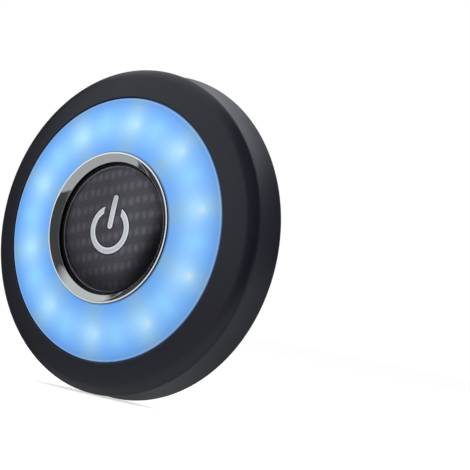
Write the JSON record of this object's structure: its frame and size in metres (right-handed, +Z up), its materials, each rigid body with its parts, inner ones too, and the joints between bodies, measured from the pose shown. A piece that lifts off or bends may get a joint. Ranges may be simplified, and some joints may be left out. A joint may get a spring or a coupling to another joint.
{
  "type": "magnetic led light",
  "caption": "Round wall lamp with a lit milky ring round a large push button, held by magnets on a steel disc.",
  "frame": {"origin": "centre of the adhesive pad's wall face", "axes": "+Y points into the wall, the lamp's front faces -Y, and +Z is up, as the symbol's bar points"},
  "size_m": [0.13, 0.026, 0.13],
  "materials": {
    "adhesive_foam": "matt grey violet foam face",
    "zinc_plated_steel": "satin zinc plate",
    "soft_black_plastic": "soft-touch black",
    "satin_grey_plastic": "fine satin texture",
    "lit_diffuser": "milky translucent, lit blue",
    "chromed_plastic": "mirror chrome",
    "white_plastic": "plain white",
    "white_board": "white solder mask",
    "green_board": "green solder mask",
    "black_plastic": "plain black",
    "carbon_look": "twill carbon look under clear lacquer",
    "silver_inlay": "satin silver",
    "colour_led_package": "white package with a clear dish",
    "white_led_package": "yellow phosphor dish",
    "nickel_steel": "bright nickel",
    "spring_steel": "bright drawn wire",
    "magnet_nickel": "nickel plated magnet",
    "cell_sleeve": "plain printed sleeve"
  },
  "bodies": {
    "mounting_disc": {"adhesive_pad": "adhesive_foam", "steel_mounting_plate": "zinc_plated_steel"},
    "lamp": {"housing": "soft_black_plastic", "rear_cover": "satin_grey_plastic", "diffuser_ring": "lit_diffuser", "chrome_bezel": "chromed_plastic", "inner_frame": "white_plastic", "led_board": "white_board", "colour_led_01": "colour_led_package", "colour_led_02": "colour_led_package", "colour_led_03": "colour_led_package", "colour_led_04": "colour_led_package", "colour_led_05": "colour_led_package", "colour_led_06": "colour_led_package", "colour_led_07": "colour_led_package", "colour_led_08": "colour_led_package", "colour_led_09": "colour_led_package", "colour_led_10": "colour_led_package", "white_led_01": "white_led_package", "white_led_02": "white_led_package", "white_led_03": "white_led_package", "white_led_04": "white_led_package", "white_led_05": "white_led_package", "white_led_06": "white_led_package", "white_led_07": "white_led_package", "white_led_08": "white_led_package", "white_led_09": "white_led_package", "white_led_10": "white_led_package", "board_screw_1": "spring_steel", "board_screw_2": "spring_steel", "board_screw_3": "spring_steel", "board_screw_4": "spring_steel", "rear_screw_1": "nickel_steel", "rear_screw_2": "nickel_steel", "rear_screw_3": "nickel_steel", "rear_screw_4": "nickel_steel", "magnet_1": "magnet_nickel", "magnet_2": "magnet_nickel", "magnet_3": "magnet_nickel", "magnet_4": "magnet_nickel", "battery_holder": "black_plastic", "battery_cell_1": "cell_sleeve", "battery_cell_2": "cell_sleeve", "battery_cell_3": "cell_sleeve", "contact_spring_1": "spring_steel", "contact_spring_2": "spring_steel", "contact_spring_3": "spring_steel", "contact_tab_1": "nickel_steel", "contact_tab_2": "nickel_steel", "contact_tab_3": "nickel_steel", "control_board": "green_board", "tact_switch": "black_plastic"},
    "button": {"button_cap": "black_plastic", "carbon_insert": "carbon_look", "power_ring_inlay": "silver_inlay", "power_bar_inlay": "silver_inlay", "switch_plunger": "white_plastic"}
  },
  "joints": [
    {"name": "lamp_release", "type": "slide", "parent": "mounting_disc", "child": "lamp", "axis": [0, -1, 0], "range_m": [0, 0.03]},
    {"name": "button_press", "type": "slide", "parent": "lamp", "child": "button", "axis": [0, 1, 0], "range_m": [0, 0.0009], "stiffness_N_per_m": 900}
  ]
}
